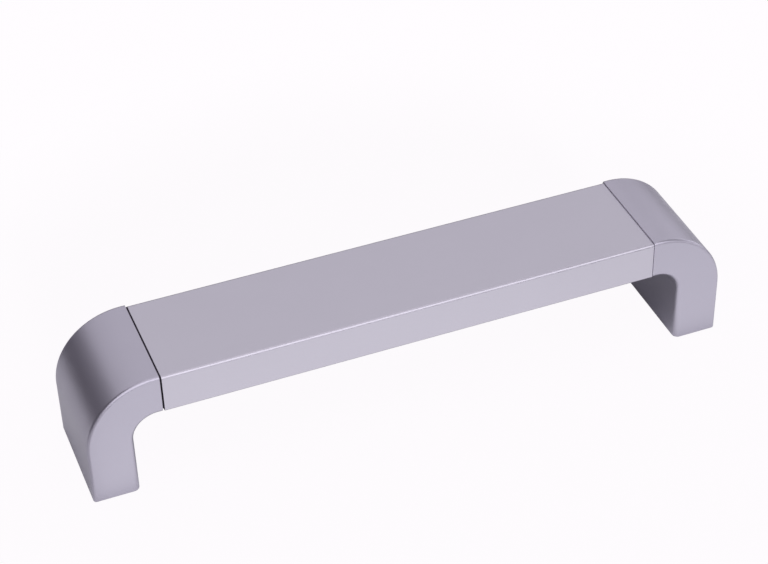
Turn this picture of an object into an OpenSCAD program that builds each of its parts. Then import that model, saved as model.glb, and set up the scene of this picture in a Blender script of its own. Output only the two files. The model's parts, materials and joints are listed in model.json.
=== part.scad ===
// Cabinet handle: a flat hollow bar carried between two bent legs.
// X runs along the bar, Y across it and Z up. The origin lies midway between the feet, on the
// face that they stand on.

/* [Fixing] */
// Distance between the axes of the two fixing screws
hole_spacing = 128; // [96:32:320]
// Diameter of the screw hole's wall, the tap drill of an M4 thread
screw_hole_d = 3.3; // [2.5:0.1:4.2]
// Depth of the screw hole above the foot, to its flat end
screw_hole_depth = 13; // [9:0.5:16]
// Width of the countersunk ring at the mouth of the screw hole
screw_lead_in = 0.5; // [0.2:0.1:0.8]

/* [Bar] */
// Height of the bar's top face above the feet
bar_top = 27; // [24:0.5:45]
// Width of the bar, front to back
bar_w = 23.8; // [20:0.2:32]
// Thickness of the bar
bar_t = 8.7; // [7.5:0.1:11]
// Wall of the hollow bar
bar_wall = 1.3; // [1:0.1:1.6]
// Radius of the bar's long outer edges
bar_edge_r = 0.4; // [0.2:0.1:1]
// Radius of the corners of the bar's bore
bore_corner_r = 0.3; // [0.1:0.05:0.5]

/* [Legs] */
// Thickness of a leg's upright, along the bar
leg_t = 9.6; // [8.6:0.1:11]
// Radius of a leg's inner bend. The outer bend starts beside it and is larger by the leg's thickness
inner_bend_r = 5.4; // [4:0.2:8]
// Straight part of a leg's arm, between its bends and the bar
arm_straight = 0.9; // [0.5:0.1:6]
// Radius of the long edges of a leg's outer face
outer_edge_r = 0.5; // [0.3:0.1:1.2]
// Radius of the long edges of a leg's inner face, the softer ones
inner_edge_r = 1.3; // [0.4:0.1:1.8]
// How far a leg stands above the bar's top face
step_top = 0.35; // [0.1:0.05:0.6]
// How far the underside of a leg's arm lies below the bar's bottom face
step_bottom = 0.05; // [0.05:0.05:0.5]
// How far a leg stands outside each long side of the bar
step_side = 0.2; // [0.05:0.05:0.6]

/* [Seams] */
// Open seam between the bar and the left leg
left_seam = 0.4; // [0.05:0.05:0.6]
// Open seam between the bar and the right leg
right_seam = 0.05; // [0.05:0.05:0.6]

/* [Tongues] */
// Length of the tongue that a leg pushes into the bar
tongue_len = 14; // [9:0.5:24]
// Clearance round a tongue, taken up by its crush ribs
tongue_clear = 0.1; // [0.05:0.05:0.25]
// Width of a crush rib
rib_w = 1.2; // [0.6:0.1:2]
// Distance of the upper and lower crush ribs from the tongue's middle
rib_offset = 6; // [3:0.5:7.5]
// Chamfer round a tongue's tip
tip_chamfer = 0.8; // [0.4:0.1:1.2]
// Chamfer along a tongue's edges
tongue_chamfer = 0.6; // [0.5:0.1:1]

/* [Coring] */
// Wall that the cores leave in a leg
leg_wall = 1.9; // [1.5:0.1:2.3]
// Diameter of the screw boss in a foot
boss_d = 7.6; // [6.6:0.1:8.4]
// Draft angle of a foot's core, in degrees
core_draft = 1; // [0.5:0.5:2]
// Wall round the two cores in a tongue
tongue_wall = 1.5; // [1.2:0.1:1.7]
// Web between the two cores in a tongue
tongue_web = 2; // [1.5:0.1:4]
// Depth to which a tongue's cores run on into the leg's arm
arm_core_depth = 4; // [1:0.5:5]

/* [Hidden] */
$fn = 96;
// How far joined forms, and cuts, run past each other
lap = 1;

// Bar
bar_bottom = bar_top - bar_t;
bar_mid_z = bar_top - bar_t / 2;
bore_w = bar_w - 2 * bar_wall;
bore_t = bar_t - 2 * bar_wall;

// Leg, at the right end
screw_x = hole_spacing / 2;
inner_x = screw_x - leg_t / 2;
leg_w = bar_w + 2 * step_side;
leg_top = bar_top + step_top;
arm_bottom = bar_bottom - step_bottom;
arm_t = leg_top - arm_bottom;
bend_x = inner_x - inner_bend_r;
outer_bend_r = inner_bend_r + leg_t;
outer_centre = [bend_x, leg_top - outer_bend_r];
inner_centre = [bend_x, arm_bottom - inner_bend_r];
shoulder_x = bend_x - arm_straight;
// A leg is two layers, one behind its inner face and one behind its outer face, that overlap
inner_layer = min(leg_t, arm_t) - outer_edge_r - lap / 2;
outer_layer = max(leg_t, arm_t) - inner_layer + lap;

// Tongue
tongue_w = bore_w - 2 * tongue_clear;
tongue_t = bore_t - 2 * tongue_clear;
tip_x = shoulder_x - tongue_len;
rib_start = tip_x + 2 * tip_chamfer;

// Rectangle with rounded corners, centred
module rounded_rect(w, h, r) {
    square([w - 2 * r, h], center = true);
    square([w, h - 2 * r], center = true);
    for (x = [-1, 1], y = [-1, 1])
        translate([x * (w / 2 - r), y * (h / 2 - r)]) circle(r);
}

// Rectangle with chamfered corners, centred
module chamfered_rect(w, h, c) {
    polygon([
        [w / 2 - c, h / 2], [c - w / 2, h / 2], [-w / 2, h / 2 - c], [-w / 2, c - h / 2],
        [c - w / 2, -h / 2], [w / 2 - c, -h / 2], [w / 2, c - h / 2], [w / 2, h / 2 - c]
    ]);
}

// Section of one layer of a leg: its face lies at x = 0, with both edges round
module layer_section(depth, r) {
    translate([-depth, -leg_w / 2]) square([depth - r, leg_w]);
    translate([-depth, r - leg_w / 2]) square([depth, leg_w - 2 * r]);
    for (side = [-1, 1]) translate([-r, side * (leg_w / 2 - r)]) circle(r);
}

// Carries a section up the upright, round the bend and along the arm to the shoulder
module along_leg(centre, radius) {
    translate([centre[0] + radius, 0, 0]) linear_extrude(centre[1]) children();
    translate([centre[0], 0, centre[1]]) rotate([90, 0, 0])
        rotate_extrude(angle = 90) translate([radius, 0]) children();
    translate([centre[0], 0, centre[1] + radius]) rotate([0, -90, 0])
        linear_extrude(centre[0] - shoulder_x) children();
}

module leg_form() {
    along_leg(outer_centre, outer_bend_r) layer_section(outer_layer, outer_edge_r);
    along_leg(inner_centre, inner_bend_r) mirror([1, 0]) layer_section(inner_layer, inner_edge_r);
}

// Outline of a tongue seen square on, with its tip chamfered
module tongue_outline(h) {
    end_x = shoulder_x + lap;
    c = tip_chamfer;
    polygon([
        [end_x, h / 2], [tip_x + c, h / 2], [tip_x, h / 2 - c],
        [tip_x, c - h / 2], [tip_x + c, -h / 2], [end_x, -h / 2]
    ]);
}

// Crush ribs, which run through the tongue and end flush with the wall of the bore
module crush_ribs() {
    reach = shoulder_x + lap - rib_start;
    for (side = [-1, 1])
        translate([rib_start, side * rib_offset - rib_w / 2, -bore_t / 2])
            cube([reach, rib_w, bore_t]);
    translate([rib_start, -bore_w / 2, -rib_w / 2]) cube([reach, bore_w, rib_w]);
}

module tongue() {
    translate([0, 0, bar_mid_z]) {
        intersection() {
            translate([tip_x, 0, 0]) rotate([90, 0, 90])
                linear_extrude(tongue_len + lap) chamfered_rect(tongue_w, tongue_t, tongue_chamfer);
            linear_extrude(tongue_t, center = true) tongue_outline(tongue_w);
            rotate([90, 0, 0]) linear_extrude(tongue_w, center = true) tongue_outline(tongue_t);
        }
        crush_ribs();
    }
}

// Two cores side by side, drawn out through the tongue's tip
module tongue_cores() {
    core_w = (tongue_w - tongue_web) / 2 - tongue_wall;
    core_t = tongue_t - 2 * tongue_wall;
    for (side = [-1, 1])
        translate([tip_x - lap, side * (tongue_web + core_w) / 2 - core_w / 2, bar_mid_z - core_t / 2])
            cube([lap + tongue_len + arm_core_depth, core_w, core_t]);
}

// Draft of a foot's core: a bar of the core's width at the foot that narrows as it goes up
module drafted(w) {
    inset = leg_top * tan(core_draft);
    flare = lap * tan(core_draft);
    polygon([
        [-w / 2 - flare, -lap], [w / 2 + flare, -lap],
        [w / 2 - inset, leg_top], [inset - w / 2, leg_top]
    ]);
}

// Core drawn out through the foot: it follows the outer bend at one wall's distance, and goes
// round the screw boss
module foot_core() {
    core_t = leg_t - 2 * leg_wall;
    core_w = leg_w - 2 * leg_wall;
    difference() {
        intersection() {
            translate([screw_x, 0, 0]) rotate([90, 0, 0])
                linear_extrude(core_w + lap, center = true) drafted(core_t);
            translate([screw_x, 0, 0]) rotate([90, 0, 90])
                linear_extrude(core_t + lap, center = true) drafted(core_w);
            union() {
                translate([inner_x, -leg_w / 2, -lap]) cube([leg_t, leg_w, lap + outer_centre[1]]);
                translate([outer_centre[0], 0, outer_centre[1]]) rotate([90, 0, 0])
                    cylinder(h = leg_w, r = outer_bend_r - leg_wall, center = true);
            }
        }
        translate([screw_x, 0, -lap]) cylinder(h = leg_top + lap, d = boss_d);
    }
}

module screw_hole() {
    r = screw_hole_d / 2;
    translate([screw_x, 0, -lap]) {
        cylinder(h = lap + screw_hole_depth, r = r);
        cylinder(h = lap + screw_lead_in, r1 = r + screw_lead_in + lap, r2 = r);
    }
}

// One casting serves both ends
module leg() {
    difference() {
        union() {
            leg_form();
            tongue();
        }
        tongue_cores();
        foot_core();
        screw_hole();
    }
}

module handle_bar() {
    start_x = left_seam - shoulder_x;
    end_x = shoulder_x - right_seam;
    color("#b5b1bd") translate([start_x, 0, bar_mid_z]) rotate([90, 0, 90])
        linear_extrude(end_x - start_x) difference() {
            rounded_rect(bar_w, bar_t, bar_edge_r);
            rounded_rect(bore_w, bore_t, bore_corner_r);
        }
}

module left_leg() {
    color("#aaa6b4") rotate([0, 0, 180]) leg();
}

module right_leg() {
    color("#aaa6b4") leg();
}

handle_bar();
left_leg();
right_leg();
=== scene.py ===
import json
import math

import bpy
import numpy as np
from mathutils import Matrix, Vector


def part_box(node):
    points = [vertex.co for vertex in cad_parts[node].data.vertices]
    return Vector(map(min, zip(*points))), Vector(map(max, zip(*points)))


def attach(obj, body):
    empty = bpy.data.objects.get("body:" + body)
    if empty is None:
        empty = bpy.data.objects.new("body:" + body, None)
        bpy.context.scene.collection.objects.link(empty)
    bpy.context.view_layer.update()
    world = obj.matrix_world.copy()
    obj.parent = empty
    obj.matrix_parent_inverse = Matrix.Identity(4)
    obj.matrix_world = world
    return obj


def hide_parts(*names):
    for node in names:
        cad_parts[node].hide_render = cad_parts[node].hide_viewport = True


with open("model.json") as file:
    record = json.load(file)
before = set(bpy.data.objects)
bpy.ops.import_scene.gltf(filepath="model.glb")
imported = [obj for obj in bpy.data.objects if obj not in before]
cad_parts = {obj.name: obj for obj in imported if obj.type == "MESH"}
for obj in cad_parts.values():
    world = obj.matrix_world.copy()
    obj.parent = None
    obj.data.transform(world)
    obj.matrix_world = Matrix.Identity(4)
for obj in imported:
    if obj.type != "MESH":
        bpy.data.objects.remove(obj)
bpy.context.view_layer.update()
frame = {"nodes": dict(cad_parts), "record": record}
print("frame loaded:", sorted(frame["nodes"]))

# All shapes are worked out in millimetres and go into their meshes in metres
toMetres = 0.001
hold = 0.05  # mm, how close to a round edge its flats get a line of points that keeps them flat
lap = 1.0  # mm, how far a joined form or a cut runs past what it meets
near = 0.01  # mm, a face lies in a plane when its centre is closer to it than this


def nodeBox(name):
    low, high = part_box(name)
    return np.array(low) / toMetres, np.array(high) / toMetres


# Shapes

def roundLoop(halfWidth, halfHeight, radius, lowerRadius=None, steps=8):
    # A rectangle with round corners as a loop of points (a, b), one loop for each entry of the
    # sizes. A corner is its centre plus the radius times (cos t, sin t), with one more point on
    # each flat beside it. The left corners are mirror images of the right ones, and the lower
    # corners may have a radius of their own.
    lowerRadius = radius if lowerRadius is None else lowerRadius
    halfWidth, halfHeight, radius, lowerRadius = np.broadcast_arrays(
        *(np.atleast_1d(np.asarray(v, float))[:, None]
          for v in (halfWidth, halfHeight, radius, lowerRadius)))
    turn = np.radians(np.linspace(0, 90, steps + 1))
    across = np.concatenate([[1], np.cos(turn), [0]])
    up = np.concatenate([[0], np.sin(turn), [1]])
    backOff = np.zeros(steps + 3)
    backOff[-1] = hold
    dropOff = backOff[::-1]
    upper, lower = (np.stack([halfWidth - r * (1 - across) - backOff,
                              halfHeight - r * (1 - up) - dropOff], -1)
                    for r in (radius, lowerRadius))
    return np.concatenate([upper, upper[:, ::-1] * (-1, 1),
                           lower * (-1, -1), lower[:, ::-1] * (1, -1)], 1)


def fullTurn(count=96):
    # The angles of the points of a circle
    return np.arange(count) * (2 * np.pi / count)


def gridFaces(rows, columns, closedRows=False):
    # Four-sided faces between the rows of a grid. The columns always close into a loop.
    row = np.arange(rows if closedRows else rows - 1)[:, None]
    column = np.arange(columns)[None, :]
    nextRow = (row + 1) % rows
    nextColumn = (column + 1) % columns
    corners = [row * columns + column, row * columns + nextColumn,
               nextRow * columns + nextColumn, nextRow * columns + column]
    return np.stack([np.broadcast_to(c, (len(row), columns)) for c in corners], -1).reshape(-1, 4)


def addPiece(name, grid, closedRows=False):
    # A closed solid from a grid of loops. Open ends are closed by one flat face each.
    rows, columns = grid.shape[:2]
    points = grid.reshape(-1, 3) * toMetres
    faces = gridFaces(rows, columns, closedRows)
    a, b, c, d = (points[faces[:, k]] for k in range(4))
    faces = faces.tolist()
    if not closedRows:
        faces.append(list(range(columns))[::-1])
        faces.append(list(range((rows - 1) * columns, rows * columns)))
    # The volume under the faces says whether they point outwards
    middle = points.mean(0)
    volume = np.einsum("ij,ij->", (a + c) / 2 - middle, np.cross(c - a, d - b))
    if volume < 0:
        faces = [face[::-1] for face in faces]
    mesh = bpy.data.meshes.new(name)
    mesh.from_pydata(points.tolist(), [], faces)
    mesh.validate()
    piece = bpy.data.objects.new(name, mesh)
    bpy.context.scene.collection.objects.link(piece)
    return piece


def addBlock(name, low, high):
    # A plain block between two corners, to join to a piece or to cut from it
    low, high = np.array(low, float), np.array(high, float)
    square = np.array([[0, 0], [1, 0], [1, 1], [0, 1]])
    loops = [np.column_stack([np.full(4, x), low[1:] + square * (high - low)[1:]])
             for x in (low[0], high[0])]
    return addPiece(name, np.array(loops))


def combine(piece, others, operation):
    # Joins the other solids to the piece, or cuts them from it, and keeps only the result
    for other in others:
        step = piece.modifiers.new(other.name, "BOOLEAN")
        step.object = other
        step.operation = operation
        step.solver = "MANIFOLD"
    graph = bpy.context.evaluated_depsgraph_get()
    result = bpy.data.meshes.new_from_object(piece.evaluated_get(graph))
    piece.modifiers.clear()
    piece.data = result
    for other in others:
        bpy.data.objects.remove(other)
    return piece


def smooth(piece, sharpDegrees=32):
    piece.data.shade_smooth()
    piece.data.set_sharp_from_angle(angle=math.radians(sharpDegrees))


# Handle bar

barForm = {
    "wall": 1.3,  # mm
    "edge": 0.6,  # mm, radius of the long outer edges
    "boreCorner": 0.3,  # mm
    "endBreak": 0.05,  # mm, radius left by deburring the sawn ends
    "endSteps": 4,  # faces round that edge
}


def makeBar():
    # Product of two loops: a section along the bar through its wall, as points (along, depth into
    # the wall), and round every depth the bar's own section, a rectangle with round corners
    low, high = nodeBox("handle_bar")
    centre, half = (low + high) / 2, (high - low) / 2
    form = barForm
    wallLoop = roundLoop(half[0], form["wall"] / 2, form["endBreak"], steps=form["endSteps"])[0]
    along = centre[0] + wallLoop[:, 0]
    depth = form["wall"] / 2 - wallLoop[:, 1]
    radius = form["edge"] + (form["boreCorner"] - form["edge"]) * depth / form["wall"]
    section = roundLoop(half[1] - depth, half[2] - depth, radius)
    x = np.broadcast_to(along[:, None], section.shape[:2])
    grid = np.stack([x, centre[1] + section[..., 0], centre[2] + section[..., 1]], -1)
    bar = addPiece("barTube", grid, closedRows=True)
    smooth(bar)
    return bar


# Legs

legForm = {
    "thickness": 9.6,  # mm, of the upright along the bar
    "innerBend": 5.4,  # mm
    "outerEdge": 0.65,  # mm, radius of the long edges of the outer face
    "innerEdge": 1.3,  # mm, radius of the long edges of the inner face
    "stepBottom": 0.05,  # mm that its arm's underside lies below the bar's
    "armStraight": 0.9,  # mm from the bends to the shoulder
    "footBreak": 0.25,  # mm, radius round the foot
    "shoulderBreak": 0.05,  # mm, radius round the shoulder
    "bendSteps": 48,
    # mm below the bar's faces, the bottom of the left leg's open seam
    "seamDepth": {"front": 0.5, "back": 0.06, "top": 0.13, "bottom": 0.15},
    "seamEdges": (0.4, 0.65),  # mm, radii of its upper and lower edges
    "seamGap": 0.02,  # mm from it to the end of the bar
    "paintDepth": 1.0,  # mm, faces that lie deeper than this inside the leg are bare
}

tongueForm = {
    "clearance": 0.1,  # mm, round the tongue
    "edgeChamfer": 0.6,  # mm
    "tipChamfer": 0.8,  # mm
    "ribWidth": 1.2,  # mm
    "ribOffset": 6.0,  # mm from the middle to the upper and lower ribs
    "ribGap": 0.01,  # mm from the ribs to the wall of the bore
    "wall": 1.5,  # mm, round the cores
    "web": 2.0,  # mm, between the cores
    "coreDepth": 4.0,  # mm that the cores run on into the arm
}

footForm = {
    "wall": 1.9,  # mm
    "bossRadius": 3.8,  # mm
    "draft": 1.0,  # degrees
    "roofHeight": 18.0,  # mm above the foot, about where the core's sides meet its roof
    "roofSteps": 16,
    "holeDepth": 13.0,  # mm
    "leadIn": 0.5,  # mm
    "holeSteps": 48,  # faces round the hole
    "threadPitch": 0.7,  # mm, M4
    "threadRows": 16,  # rows of faces to one pitch
    "threadRadius": 2.0,  # mm, M4
    "threadFlat": 0.15,  # share of the thread's height that is flat at its crest and at its root
    "threadEnd": 1.5,  # mm of plain hole behind the thread
}


def legSizes():
    low, high = nodeBox("right_leg")
    barLow, barHigh = nodeBox("handle_bar")
    form = legForm
    mount = next(m for m in frame["record"]["mounts"] if m["name"] == "right_screw_hole")
    outerX = high[0]
    innerX = outerX - form["thickness"]
    bendX = innerX - form["innerBend"]
    armBottom = barLow[2] - form["stepBottom"]
    return {
        "outerX": outerX,
        "innerX": innerX,
        "bendX": bendX,
        "screwX": (outerX + innerX) / 2,
        "holeRadius": mount["dims"]["r_mm"],
        "shoulderX": bendX - form["armStraight"],
        "tipX": low[0],
        "halfWidth": high[1],
        "top": high[2],
        "armBottom": armBottom,
        "outerBend": form["innerBend"] + form["thickness"],
        "outerZ": high[2] - form["innerBend"] - form["thickness"],
        "innerZ": armBottom - form["innerBend"],
        "barMiddle": (barLow[2] + barHigh[2]) / 2,
        "boreHalf": (barHigh - barLow)[1:] / 2 - barForm["wall"],
    }


def edgeRound(radius, steps=4):
    # Quarter round where a flat end meets the sides, as (height above the end, depth from the side)
    turn = np.radians(np.linspace(0, 90, steps + 1))
    height = np.concatenate([[0], radius * (1 - np.cos(turn)), [radius + hold]])
    depth = np.concatenate([[radius + hold], radius * (1 - np.sin(turn)), [0]])
    return height, depth


def makeLegBody(name, size):
    # The section is carried from the foot up the upright, round the bend and along the arm. At each
    # station the outer face follows the outer bend and the inner face the inner bend: centre plus
    # radius times (cos a, sin a), with a from 0 at the upright to 90 degrees at the arm.
    form = legForm
    footHeight, footDepth = edgeRound(form["footBreak"])
    armHeight, armDepth = edgeRound(form["shoulderBreak"])
    bend = np.radians(np.linspace(0, 90, form["bendSteps"] + 1))
    armX = size["shoulderX"] + armHeight[::-1]

    def layer(faceX, faceZ, bendZ, bendRadius):
        # One face of the leg, inner or outer, as points (x, z) from the foot to the shoulder
        x = np.concatenate([np.full(len(footHeight) + 1, faceX),
                            size["bendX"] + bendRadius * np.cos(bend), armX])
        z = np.concatenate([footHeight, [bendZ - hold],
                            bendZ + bendRadius * np.sin(bend), np.full(len(armX), faceZ)])
        return np.stack([x, z], 1)[:, None]

    outer = layer(size["outerX"], size["top"], size["outerZ"], size["outerBend"])
    inner = layer(size["innerX"], size["armBottom"], size["innerZ"], form["innerBend"])
    angle = np.concatenate([np.zeros(len(footHeight) + 1), bend, np.full(len(armX), np.pi / 2)])
    normal = np.stack([np.cos(angle), np.sin(angle)], 1)[:, None]
    depth = np.concatenate([footDepth, [0], bend * 0, armDepth[::-1]])
    halfThick = form["thickness"] / 2
    section = roundLoop(size["halfWidth"] - depth, halfThick - depth, form["outerEdge"] - depth,
                        form["innerEdge"] - depth)
    across, height = section[..., :1], section[..., 1:]
    place = np.where(height > 0, outer + normal * (height - halfThick),
                     inner + normal * (height + halfThick))
    return addPiece(name, np.concatenate([place[..., :1], across, place[..., 1:]], -1))


def makeTongue(size):
    # A block with its long edges and its tip chamfered, as three loops along the bar's bore
    form = tongueForm
    halfWidth, halfHeight = size["boreHalf"] - form["clearance"]
    tip, c = form["tipChamfer"], form["edgeChamfer"]
    inset = np.array([0, 0, tip])
    x = np.array([size["shoulderX"] + lap, size["tipX"] + tip, size["tipX"]])
    w, h = (halfWidth - inset)[:, None], (halfHeight - inset)[:, None]
    across = np.concatenate([w, w, w - c, c - w, -w, -w, c - w, w - c], 1)
    height = np.concatenate([c - h, h - c, h, h, h - c, c - h, -h, -h], 1)
    grid = np.stack([np.broadcast_to(x[:, None], across.shape), across,
                     size["barMiddle"] + height], -1)
    return addPiece("tongue", grid)


def makeRibs(size):
    # Two upright ribs and a flat one through the tongue, which grip the bore
    form = tongueForm
    start, end = size["tipX"] + 2 * form["tipChamfer"], size["shoulderX"] + lap
    halfRib, middle = form["ribWidth"] / 2, size["barMiddle"]
    halfWidth, halfHeight = size["boreHalf"] - form["ribGap"]
    ribs = [addBlock("rib", (start, side * form["ribOffset"] - halfRib, middle - halfHeight),
                     (end, side * form["ribOffset"] + halfRib, middle + halfHeight))
            for side in (-1, 1)]
    ribs.append(addBlock("rib", (start, -halfWidth, middle - halfRib),
                         (end, halfWidth, middle + halfRib)))
    return ribs


def makeTongueCores(size):
    # Two pockets side by side, which come out at the tongue's tip
    form = tongueForm
    halfWidth, halfHeight = size["boreHalf"] - form["clearance"] - form["wall"]
    start, end = size["tipX"] - lap, size["shoulderX"] + form["coreDepth"]
    middle = size["barMiddle"]
    cores = []
    for side in (-1, 1):
        low, high = sorted((side * form["web"] / 2, side * halfWidth))
        cores.append(addBlock("tongueCore", (start, low, middle - halfHeight),
                              (end, high, middle + halfHeight)))
    return cores


def makeFootCore(size):
    # Grid over x and height: the core's sides lean in by the draft, and its roof follows the outer
    # bend at the wall's distance: z = bend centre + root(radius squared - distance squared)
    form = footForm
    lean = math.tan(math.radians(form["draft"]))
    halfThick = legForm["thickness"] / 2 - form["wall"]
    halfWidth = size["halfWidth"] - form["wall"]
    share = np.linspace(-1, 1, form["roofSteps"] + 1)
    roofRadius = size["outerBend"] - form["wall"]
    roofX = size["screwX"] + share * (halfThick - form["roofHeight"] * lean)
    roofZ = size["outerZ"] + np.sqrt(roofRadius ** 2 - (roofX - size["bendX"]) ** 2)
    loops = []
    for side in (-1, 1):
        floorY = np.full(len(share), side * (halfWidth + lap * lean))
        floorX = size["screwX"] + share * (halfThick + lap * lean)
        floor = np.stack([floorX, floorY, np.full(len(share), -lap)], 1)
        roof = np.stack([roofX, side * (halfWidth - roofZ * lean), roofZ], 1)
        loops.append(np.concatenate([floor, roof[::-1]]))
    core = addPiece("footCore", np.array(loops))
    turn = fullTurn()
    circle = np.stack([size["screwX"] + form["bossRadius"] * np.cos(turn),
                       form["bossRadius"] * np.sin(turn)], 1)
    boss = addPiece("boss", np.array([np.column_stack([circle, np.full(len(turn), z)])
                                      for z in (-2 * lap, size["top"] + lap)]))
    return combine(core, [boss], "DIFFERENCE")


def makeScrewHole(size):
    # The tapped hole as a solid to cut away. Its radius is a function of height and angle: the tap
    # drill's radius plus the thread's depth times a wave of height / pitch - angle / turn
    form = footForm
    depth, pitch, drill = form["holeDepth"], form["threadPitch"], size["holeRadius"]
    z = np.concatenate([[-lap], np.arange(0, depth, pitch / form["threadRows"]), [depth]])[:, None]
    turn = fullTurn(form["holeSteps"])
    wave = np.abs((z / pitch - turn / (2 * np.pi)) % 1 * 2 - 1)
    cut = np.clip((wave - form["threadFlat"]) / (1 - 2 * form["threadFlat"]), 0, 1)
    fade = np.clip((depth - form["threadEnd"] - z) / pitch, 0, 1)
    radius = drill + (form["threadRadius"] - drill) * cut * fade
    radius = np.maximum(radius, drill + form["leadIn"] - z)
    grid = np.stack([size["screwX"] + radius * np.cos(turn), radius * np.sin(turn),
                     np.broadcast_to(z, radius.shape)], -1)
    return addPiece("screwHole", grid)


def makeSeamBottom(size):
    # The casting's step between the shoulder and the end of the bar, which closes the open seam
    low, high = nodeBox("handle_bar")
    depth = legForm["seamDepth"]
    low[1:] += depth["back"], depth["bottom"]
    high[1:] -= depth["front"], depth["top"]
    centre, half = (low + high) / 2, (high - low) / 2
    section = centre[1:] + roundLoop(half[1], half[2], *legForm["seamEdges"])[0]
    return addPiece("seamBottom", np.array([
        np.column_stack([np.full(len(section), x), section])
        for x in (legForm["seamGap"] - low[0], size["shoulderX"] + lap)]))


def makeLeg(name, side):
    size = legSizes()
    leg = makeLegBody(name, size)
    joined = [makeTongue(size), *makeRibs(size)]
    if side == "left":
        joined.append(makeSeamBottom(size))
    combine(leg, joined, "UNION")
    cutters = [*makeTongueCores(size), makeFootCore(size), makeScrewHole(size)]
    combine(leg, cutters, "DIFFERENCE")
    smooth(leg)
    if side == "left":
        # The same casting, turned half a turn about the upright axis
        points = np.empty(len(leg.data.vertices) * 3, np.float32)
        leg.data.vertices.foreach_get("co", points)
        points = points.reshape(-1, 3) * (-1, -1, 1)
        leg.data.vertices.foreach_set("co", points.ravel())
        leg.data.update()
    return leg


def faceCentres(piece):
    centres = np.empty(len(piece.data.polygons) * 3, np.float32)
    piece.data.polygons.foreach_get("center", centres)
    return centres.reshape(-1, 3).T / toMetres


def markSawnEnds(piece):
    # The bar's end at the open seam and its bore get the second material, a painted shade for the
    # gap's shadow
    low, high = nodeBox("handle_bar")
    x, y, z = faceCentres(piece)
    halfWall = barForm["wall"] / 2
    inBore = (np.abs(y) < high[1] - halfWall) & (z > low[2] + halfWall) & (z < high[2] - halfWall)
    kind = (x < low[0] + near) | inBore
    piece.data.polygons.foreach_set("material_index", kind.astype(np.int32))


def markBareFaces(leg):
    # Faces that the finish doesn't reach get the second material: the tongue, the cores and the
    # hole. Faces that look at the bar get the third material, a painted shade, in the open seam,
    # and the fourth, a painted light, in the tight one
    size = legSizes()
    deep = legForm["paintDepth"]
    x, y, z = faceCentres(leg)
    # The open seam's faces get a painted shade
    shadedSeam = (x > -size["shoulderX"] - near) & (x < nodeBox("handle_bar")[0][0] + near)
    # The shoulder at the tight seam gets a painted light that lifts the seam's shade
    litTightSeam = np.abs(x - size["shoulderX"]) < near
    x = np.abs(x)
    onTongue = x < size["shoulderX"] - near
    betweenSides = np.abs(y) < size["halfWidth"] - deep
    underBend = np.hypot(x - size["bendX"], z - size["outerZ"]) < size["outerBend"] - deep
    underOuter = x < size["outerX"] - deep
    inFoot = betweenSides & np.where(z > size["outerZ"], underBend, underOuter)
    inFoot &= (z > near) & (x > size["innerX"] + deep)
    inArm = betweenSides & underBend & underOuter
    inArm &= (z > size["armBottom"] + deep) & (z < size["top"] - deep)
    kind = np.where(shadedSeam, 2, (inFoot | inArm | onTongue).astype(int))
    kind = np.where(litTightSeam, 3, kind)
    leg.data.polygons.foreach_set("material_index", kind.astype(np.int32))


bar = makeBar()
print("bar made:", len(bar.data.polygons), "faces")
legs = {side: makeLeg(side + "LegCasting", side) for side in ("left", "right")}
print("legs made:", len(legs["right"].data.polygons), "faces each")


# Materials

class Shade:
    # A shader socket that sums can be written with
    def __init__(self, tree, socket=None):
        self.tree = tree
        self.socket = socket

    def node(self, kind, inputs, settings=None, output=0):
        # Adds a node: its settings first, then the values or links of its sockets
        made = self.tree.nodes.new(kind)
        for name, value in (settings or {}).items():
            setattr(made, name, value)
        for name, value in inputs.items():
            if isinstance(value, Shade):
                self.tree.links.new(value.socket, made.inputs[name])
            else:
                made.inputs[name].default_value = value
        return Shade(self.tree, made.outputs[output] if made.outputs else None)

    def math(self, operation, *values):
        return self.node("ShaderNodeMath", dict(enumerate(values)), {"operation": operation})

    def __add__(self, other):
        return self.math("ADD", self, other)

    def __radd__(self, other):
        return self.math("ADD", other, self)

    def __sub__(self, other):
        return self.math("SUBTRACT", self, other)

    def __rsub__(self, other):
        return self.math("SUBTRACT", other, self)

    def __mul__(self, other):
        return self.math("MULTIPLY", self, other)

    def __rmul__(self, other):
        return self.math("MULTIPLY", other, self)


def newMaterial(name):
    made = bpy.data.materials.new(name)
    made.use_nodes = True
    made.node_tree.nodes.clear()
    return made, Shade(made.node_tree)


def tinted(shade, low, high, share):
    # Blends two colours by a share from 0 to 1
    return shade.node("ShaderNodeMix", {0: share, 6: (*low, 1), 7: (*high, 1)},
                      {"data_type": "RGBA"}, output=2)


def makeMetal(name, form):
    # Each pattern of a finish is noise from 0 to 1 that is fixed to the piece. The tint, roughness
    # and height are each a plain value plus, for every pattern, (noise - 0.5) times its part in
    # them. A tint of 0 is the colour at its darkest, and 1 at its lightest
    made, shade = newMaterial(name)
    sums = {"tint": 0.5, "roughness": form["roughness"], "height": 0.5}
    for pattern in form["patterns"].values():
        place = shade.node("ShaderNodeTexCoord", {}, output="Object")
        place = shade.node("ShaderNodeMapping", {
            "Vector": place, "Scale": pattern.get("stretch", (1, 1, 1))})
        noise = shade.node("ShaderNodeTexNoise", {
            "Vector": place, "Scale": 1 / (pattern["grain"] * toMetres),
            "Detail": pattern["detail"]})
        swing = noise - 0.5
        for kind in sums:
            if kind in pattern:
                sums[kind] = sums[kind] + swing * pattern[kind]
    low, high = ([c * (1 + way * form["variation"]) for c in form["colour"]] for way in (-1, 1))
    normal = shade.node("ShaderNodeBump", {
        "Height": sums["height"], "Strength": form["bumpStrength"],
        "Distance": form["bump"] * toMetres})
    surface = shade.node("ShaderNodeBsdfPrincipled", {
        "Base Color": tinted(shade, low, high, sums["tint"]), "Roughness": sums["roughness"],
        "Metallic": 1.0, "Normal": normal})
    shade.node("ShaderNodeOutputMaterial", {"Surface": surface})
    return made


# The grain of a pattern is the size of its spots in mm

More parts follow.
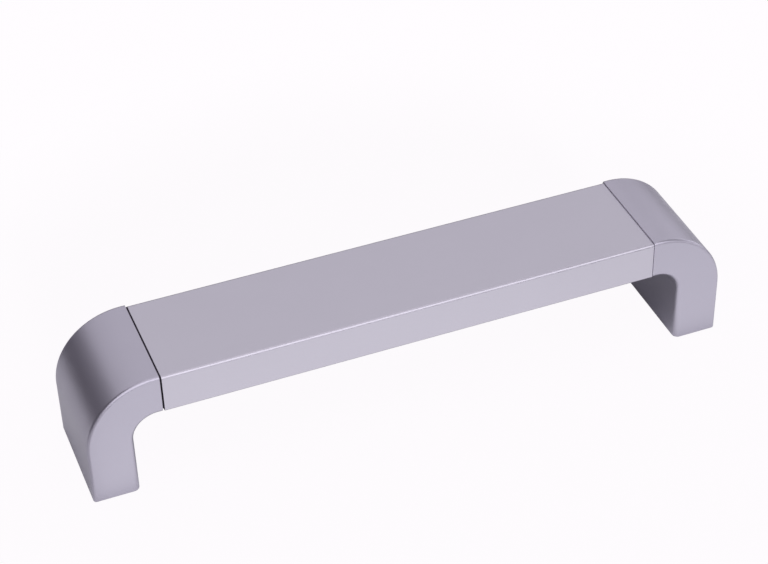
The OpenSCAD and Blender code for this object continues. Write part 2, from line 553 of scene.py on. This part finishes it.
# Etched and anodised extrusion: fine even grain, and very faint lines along the bar
barFinish = {
    "colour": (0.578, 0.549, 0.640),
    "variation": 0.03,
    "roughness": 0.36,
    "bump": 0.004,  # mm
    "bumpStrength": 0.35,
    "patterns": {
        "etching": {"grain": 0.12, "detail": 3, "tint": 0.8, "roughness": 0.06, "height": 0.8},
        "dieLines": {"grain": 0.25, "detail": 2, "roughness": 0.05, "height": 0.4,
                     "stretch": (0.01, 1, 1)},
        "cloud": {"grain": 14, "detail": 2, "tint": 0.5},
    },
}

# Silver paint on a casting: fine flake under a slightly uneven satin surface
legFinish = {
    "colour": (0.51, 0.482, 0.582),
    "variation": 0.03,
    "roughness": 0.39,
    "bump": 0.004,  # mm
    "bumpStrength": 0.3,
    "patterns": {
        "flake": {"grain": 0.09, "detail": 2, "tint": 0.9, "roughness": 0.08, "height": 0.5},
        "peel": {"grain": 0.9, "detail": 2, "roughness": 0.03, "height": 1.5},
        "cloud": {"grain": 9, "detail": 2, "tint": 0.5},
    },
}

# Bare zinc inside the cores: dull, mottled and slightly rough
bareFinish = {
    "colour": (0.30, 0.30, 0.31),
    "variation": 0.18,
    "roughness": 0.55,
    "bump": 0.02,  # mm
    "bumpStrength": 0.5,
    "patterns": {
        "mottle": {"grain": 1.6, "detail": 4, "tint": 1, "height": 0.5},
        "sandiness": {"grain": 0.15, "detail": 3, "roughness": 0.2, "height": 1},
    },
}

# Painted shade: near-black metal inside the open seam and in the bar's bore, standing for the deep
# shadow in the gap
seamShadeFinish = {
    "colour": (0.055, 0.045, 0.065),
    "variation": 0.25,
    "roughness": 0.6,
    "bump": 0.01,  # mm
    "bumpStrength": 0.4,
    "patterns": {
        "mottle": {"grain": 0.5, "detail": 3, "tint": 1, "roughness": 0.2, "height": 1},
    },
}

# Painted light: bright metal on the shoulder at the tight seam, which lifts the seam's shade so
# that it looks lit
seamLightFinish = {
    "colour": (0.83, 0.80, 0.88),
    "variation": 0.04,
    "roughness": 0.45,
    "bump": 0.004,  # mm
    "bumpStrength": 0.3,
    "patterns": {
        "facing": {"grain": 0.1, "detail": 2, "tint": 1, "roughness": 0.1, "height": 1},
    },
}

paint = makeMetal("satinSilverPaint", legFinish)
bare = makeMetal("bareCasting", bareFinish)
seam = makeMetal("tarnishedSeam", seamShadeFinish)
seamLight = makeMetal("machinedShoulder", seamLightFinish)
bar.data.materials.append(makeMetal("satinAnodised", barFinish))
bar.data.materials.append(seam)
markSawnEnds(bar)
for leg in legs.values():
    leg.data.materials.clear()
    for finish in (paint, bare, seam, seamLight):
        leg.data.materials.append(finish)
    markBareFaces(leg)
print("materials made")

for piece, node, slotName in ((bar, "handle_bar", "bar_finish"),
                              (legs["left"], "left_leg", "leg_finish"),
                              (legs["right"], "right_leg", "leg_finish")):
    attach(piece, "root")
    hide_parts(node)


# Studio

studio = {
    "sheetRadius": 0.145,  # m
    "sheetDrop": 0.00005,  # m below the feet
    "sheetColour": (0.74, 0.74, 0.74),
    "white": (1.0, 0.977, 1.0),  # what the camera sees behind the handle
    "shadowShare": 0.03,  # how much of the real shading the camera still sees on the sheet
    "shadowFade": (0.08, 0.13),  # m from the middle, where the shading ends
    "gleam": 1.0,  # how much the sheet glows white to the metal in front of the handle, a painted reflection
    "gleamFront": (-0.006, -0.018),  # m across the handle, where the gleam starts and is full
    "gleamLeft": (-0.075, -0.064),  # m along the handle, where the gleam starts and is full
    "gleamRight": (0.01, 0.08),  # m along the handle, where it falls off a little
    "gleamFall": 0.12,  # by how much it falls off
    "underShade": 0.5,  # how much darker the sheet is painted behind and under the bar, a painted shadow that the metal sees
    "underAcross": (-0.016, 0.003),  # m across the handle, where this starts and is full
    "underAlong": (0.072, 0.060),  # m along the handle to each side, the same
    "roomColour": (1.09, 1.0, 1.16),
    "roomStrength": 0.087,
}

# Soft boxes: compass bearing seen from above (0 is +X, 90 is +Y), height in degrees, distance in
# metres, width and height of the box in metres, and power in watts
lamps = {
    "backPanel": {"bearing": 80, "height": 44, "distance": 0.9, "box": (1.7, 0.78), "power": 3.0},
    "backLeft": {"bearing": 133, "height": 19, "distance": 1.5, "box": (0.7, 0.5), "power": 0.19},
    "backRight": {"bearing": 40, "height": 9, "distance": 2.0, "box": (0.9, 0.8), "power": 0.72},
    "frontPanel": {"bearing": 260, "height": 32, "distance": 1.0, "box": (1.6, 1.25), "power": 8.7},
    "frontLeft": {"bearing": 260, "height": 45, "distance": 1.2, "box": (0.9, 0.5), "power": 0.32},
    "frontRight": {"bearing": 318, "height": 38, "distance": 1.5, "box": (1.1, 1.1), "power": 2.0},
    "sideRight": {"bearing": 330, "height": 4, "distance": 1.5, "box": (1.2, 0.7), "power": 2.5},
    "lowRight": {"bearing": 15, "height": 12, "distance": 1.5, "box": (1.3, 0.9), "power": 3.95},
    "overhead": {"bearing": 90, "height": 90, "distance": 1.0, "box": (1.0, 0.8), "power": 2.2},
}


def ramp(value, start, end):
    # 0 at the start, 1 at the end, and a smooth curve between them. The end may be the lower one
    sign = 1 if end > start else -1
    return value.node("ShaderNodeMapRange", {
        "Value": value * sign, "From Min": start * sign, "From Max": end * sign},
        {"interpolation_type": "SMOOTHSTEP"})


def makeSheet():
    # A round white sheet. The camera sees it white with a trace of its shadow. The metal sees it as
    # it is lit, plus a painted reflection where the sheet glows white in front of the handle, and a
    # painted shadow that darkens it behind and under the bar
    turn = fullTurn()
    rim = np.stack([np.cos(turn), np.sin(turn)], 1) * studio["sheetRadius"]
    points = np.column_stack([rim, np.full(len(rim), -studio["sheetDrop"])])
    mesh = bpy.data.meshes.new("sheet")
    mesh.from_pydata(points.tolist(), [], [list(range(len(rim)))])
    sheet = bpy.data.objects.new("sheet", mesh)
    bpy.context.scene.collection.objects.link(sheet)
    made, shade = newMaterial("whiteSheet")
    place = shade.node("ShaderNodeTexCoord", {}, output="Object")
    along = shade.node("ShaderNodeSeparateXYZ", {"Vector": place}, output="X")
    across = shade.node("ShaderNodeSeparateXYZ", {"Vector": place}, output="Y")
    fromMiddle = shade.node("ShaderNodeVectorMath", {0: place}, {"operation": "LENGTH"},
                            output="Value")
    toCamera = shade.node("ShaderNodeLightPath", {}, output="Is Camera Ray")
    toMetal = shade.node("ShaderNodeLightPath", {}, output="Is Glossy Ray")
    shaded = studio["shadowShare"] * (1 - ramp(fromMiddle, *studio["shadowFade"]))
    # Painted reflection: where the sheet glows white to the metal in front of the handle
    gleam = ramp(across, *studio["gleamFront"]) * ramp(along, *studio["gleamLeft"])
    gleam = gleam * (1 - ramp(along, *studio["gleamRight"]) * studio["gleamFall"])
    whiteShare = toCamera * (1 - shaded) + toMetal * gleam * studio["gleam"]
    toSide = along.math("ABSOLUTE", along)
    # Painted shadow on the sheet behind and under the bar
    underBarShadow = ramp(across, *studio["underAcross"]) * ramp(toSide, *studio["underAlong"])
    dark = [c * (1 - studio["underShade"]) for c in studio["sheetColour"]]
    paper = shade.node("ShaderNodeBsdfDiffuse", {
        "Color": tinted(shade, studio["sheetColour"], dark, underBarShadow)})
    white = shade.node("ShaderNodeEmission", {
        "Color": tinted(shade, (1, 1, 1), studio["white"], toCamera), "Strength": 1.0})
    surface = shade.node("ShaderNodeMixShader", {0: whiteShare, 1: paper, 2: white})
    shade.node("ShaderNodeOutputMaterial", {"Surface": surface})
    mesh.materials.append(made)


def makeLamp(name, form):
    bearing, height = math.radians(form["bearing"]), math.radians(form["height"])
    away = Vector((math.cos(bearing) * math.cos(height), math.sin(bearing) * math.cos(height),
                   math.sin(height)))
    light = bpy.data.lights.new(name, "AREA")
    light.shape = "RECTANGLE"
    light.size, light.size_y = form["box"]
    light.energy = form["power"]
    lamp = bpy.data.objects.new(name, light)
    lamp.location = away * form["distance"]
    lamp.rotation_euler = away.to_track_quat("Z", "Y").to_euler()
    lamp.visible_camera = False
    bpy.context.scene.collection.objects.link(lamp)


def makeWorld():
    # The camera sees white, and everything else a dim room
    world = bpy.data.worlds.new("studioWorld")
    bpy.context.scene.world = world
    world.use_nodes = True
    world.node_tree.nodes.clear()
    shade = Shade(world.node_tree)
    toCamera = shade.node("ShaderNodeLightPath", {}, output="Is Camera Ray")
    room = studio["roomStrength"]
    sky = shade.node("ShaderNodeBackground", {
        "Color": tinted(shade, studio["roomColour"], studio["white"], toCamera),
        "Strength": room + toCamera * (1 - room)})
    shade.node("ShaderNodeOutputWorld", {"Surface": sky})


cameraForm = {
    "lens": 98.146,  # mm
    "frameWidth": 36,  # mm
    "place": (-118.45, -309.54, 289.60),  # mm
    "turn": (51.413, 1.272, -21.621),  # degrees
    "clipStart": 10,  # mm
}


def makeCamera():
    data = bpy.data.cameras.new("camera")
    data.lens = cameraForm["lens"]
    data.sensor_width = cameraForm["frameWidth"]
    data.clip_start = cameraForm["clipStart"] * toMetres
    camera = bpy.data.objects.new("camera", data)
    camera.location = [v * toMetres for v in cameraForm["place"]]
    camera.rotation_euler = [math.radians(v) for v in cameraForm["turn"]]
    bpy.context.scene.collection.objects.link(camera)
    bpy.context.scene.camera = camera


makeSheet()
for name, form in lamps.items():
    makeLamp(name, form)
makeWorld()
makeCamera()
bpy.context.scene.view_settings.view_transform = "Standard"
print("studio made")
